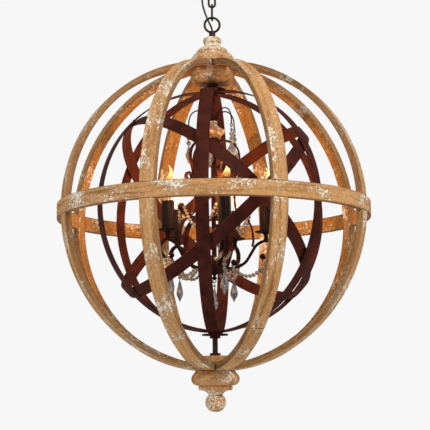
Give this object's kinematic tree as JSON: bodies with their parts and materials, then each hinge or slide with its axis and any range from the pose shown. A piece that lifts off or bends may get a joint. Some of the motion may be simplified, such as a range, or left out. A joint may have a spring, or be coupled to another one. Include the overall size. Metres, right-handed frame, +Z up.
{
  "type": "orb chandelier",
  "caption": "Weathered wooden globe on a short chain round a turned iron strap orb, with a crystal-hung scrolled candelabra of candle lights inside.",
  "frame": {"origin": "on the ceiling, at the middle of the canopy and of the mounting bar's screw holes", "axes": "+Z up into the ceiling, the fixture hanging below it; -Y is the front that the picture faces, the ring on the globe lying in the XZ plane"},
  "size_m": [0.65, 0.65, 0.9688],
  "materials": {
    "weathered_wood": "weathered, with chipped cream paint",
    "rust_iron": "matt rust-brown paint",
    "dark_iron": "satin dark bronze",
    "plated_steel": "zinc plated",
    "black_cord": "matt",
    "candle_sleeve": "streaked brown-black",
    "lamp_socket": "plain",
    "brass_cap": "plain",
    "bulb_glass": "clear",
    "crystal": "cut and polished"
  },
  "bodies": {
    "ceiling_mount": {"ceiling_canopy": "dark_iron", "mounting_bar": "plated_steel", "canopy_loop": "dark_iron", "stud_nut": "dark_iron", "supply_cord": "black_cord"},
    "link_1": {"chain_link_1": "dark_iron"},
    "link_2": {"chain_link_2": "dark_iron"},
    "link_3": {"chain_link_3": "dark_iron"},
    "fixture": {"globe_rib_1": "weathered_wood", "globe_rib_2": "weathered_wood", "globe_rib_3": "weathered_wood", "globe_rib_4": "weathered_wood", "globe_rib_5": "weathered_wood", "globe_rib_6": "weathered_wood", "globe_rib_7": "weathered_wood", "globe_rib_8": "weathered_wood", "equator_hoop": "weathered_wood", "top_cap": "weathered_wood", "upper_hub_disc": "weathered_wood", "lower_hub_disc": "weathered_wood", "bottom_finial": "weathered_wood", "crown_cap": "weathered_wood", "meridian_strap_1": "rust_iron", "meridian_strap_2": "rust_iron", "meridian_strap_3": "rust_iron", "tilted_strap_1": "rust_iron", "tilted_strap_2": "rust_iron", "strap_rivets": "rust_iron", "orb_clamps": "rust_iron", "candle_arm_1": "rust_iron", "candle_arm_2": "rust_iron", "candle_arm_3": "rust_iron", "candle_arm_4": "rust_iron", "candle_arm_5": "rust_iron", "cage_scrolls": "rust_iron", "arm_hub": "rust_iron", "pendant_hooks": "rust_iron", "candle_cups": "rust_iron", "drip_pans": "rust_iron", "top_loop": "dark_iron", "centre_rod": "dark_iron", "lower_rod": "dark_iron", "candle_sleeves": "candle_sleeve", "lamp_sockets": "lamp_socket", "bulb_caps": "brass_cap", "bulb_glass": "bulb_glass", "crystal_swags": "crystal", "cage_crystals": "crystal"},
    "upper_pendant_1": {"upper_drop_1": "crystal"},
    "upper_pendant_2": {"upper_drop_2": "crystal"},
    "upper_pendant_3": {"upper_drop_3": "crystal"},
    "upper_pendant_4": {"upper_drop_4": "crystal"},
    "upper_pendant_5": {"upper_drop_5": "crystal"},
    "lower_pendant_1": {"lower_drop_1": "crystal"},
    "lower_pendant_2": {"lower_drop_2": "crystal"},
    "lower_pendant_3": {"lower_drop_3": "crystal"},
    "lower_pendant_4": {"lower_drop_4": "crystal"},
    "lower_pendant_5": {"lower_drop_5": "crystal"},
    "centre_pendant": {"centre_drop": "crystal"}
  },
  "joints": [
    {"name": "link_1_swing", "type": "hinge", "parent": "ceiling_mount", "child": "link_1", "pos_m": [0, 0, -0.058], "axis": [1, 0, 0], "range_deg": [-20, 20], "deforming": ["supply_cord"]},
    {"name": "link_2_swing", "type": "hinge", "parent": "link_1", "child": "link_2", "pos_m": [0, 0, -0.0863], "axis": [0, 1, 0], "range_deg": [-20, 20], "deforming": ["supply_cord"]},
    {"name": "link_3_swing", "type": "hinge", "parent": "link_2", "child": "link_3", "pos_m": [0, 0, -0.1148], "axis": [1, 0, 0], "range_deg": [-20, 20], "deforming": ["supply_cord"]},
    {"name": "globe_swing", "type": "hinge", "parent": "link_3", "child": "fixture", "pos_m": [0, 0, -0.1433], "axis": [0, 1, 0], "range_deg": [-20, 20], "deforming": ["supply_cord"]},
    {"name": "upper_drop_1_swing", "type": "hinge", "parent": "fixture", "child": "upper_pendant_1", "pos_m": [0.03834, -0.03513, -0.3827], "axis": [-0.6756, -0.7373, 0], "range_deg": [-20, 45]},
    {"name": "upper_drop_2_swing", "type": "hinge", "parent": "fixture", "child": "upper_pendant_2", "pos_m": [0.04526, 0.02561, -0.3827], "axis": [0.4924, -0.8704, 0], "range_deg": [-20, 45]},
    {"name": "upper_drop_3_swing", "type": "hinge", "parent": "fixture", "child": "upper_pendant_3", "pos_m": [-0.01037, 0.05096, -0.3827], "axis": [0.9799, 0.1994, 0], "range_deg": [-20, 45]},
    {"name": "upper_drop_4_swing", "type": "hinge", "parent": "fixture", "child": "upper_pendant_4", "pos_m": [-0.05167, 0.00589, -0.3827], "axis": [0.1132, 0.9936, 0], "range_deg": [-20, 45]},
    {"name": "upper_drop_5_swing", "type": "hinge", "parent": "fixture", "child": "upper_pendant_5", "pos_m": [-0.02156, -0.04732, -0.3827], "axis": [-0.91, 0.4147, 0], "range_deg": [-20, 45]},
    {"name": "lower_drop_1_swing", "type": "hinge", "parent": "fixture", "child": "lower_pendant_1", "pos_m": [0.01994, -0.09799, -0.6641], "axis": [-0.9799, -0.1994, 0], "range_deg": [-25, 45]},
    {"name": "lower_drop_2_swing", "type": "hinge", "parent": "fixture", "child": "lower_pendant_2", "pos_m": [0.09936, -0.01132, -0.6641], "axis": [-0.1132, -0.9936, 0], "range_deg": [-25, 45]},
    {"name": "lower_drop_3_swing", "type": "hinge", "parent": "fixture", "child": "lower_pendant_3", "pos_m": [0.04147, 0.091, -0.6641], "axis": [0.91, -0.4147, 0], "range_deg": [-25, 45]},
    {"name": "lower_drop_4_swing", "type": "hinge", "parent": "fixture", "child": "lower_pendant_4", "pos_m": [-0.07373, 0.06756, -0.6641], "axis": [0.6756, 0.7373, 0], "range_deg": [-25, 45]},
    {"name": "lower_drop_5_swing", "type": "hinge", "parent": "fixture", "child": "lower_pendant_5", "pos_m": [-0.08704, -0.04924, -0.6641], "axis": [-0.4924, 0.8704, 0], "range_deg": [-25, 45]},
    {"name": "centre_drop_swing", "type": "hinge", "parent": "fixture", "child": "centre_pendant", "pos_m": [0, 0, -0.7051], "axis": [1, 0, 0], "range_deg": [-30, 30]}
  ]
}
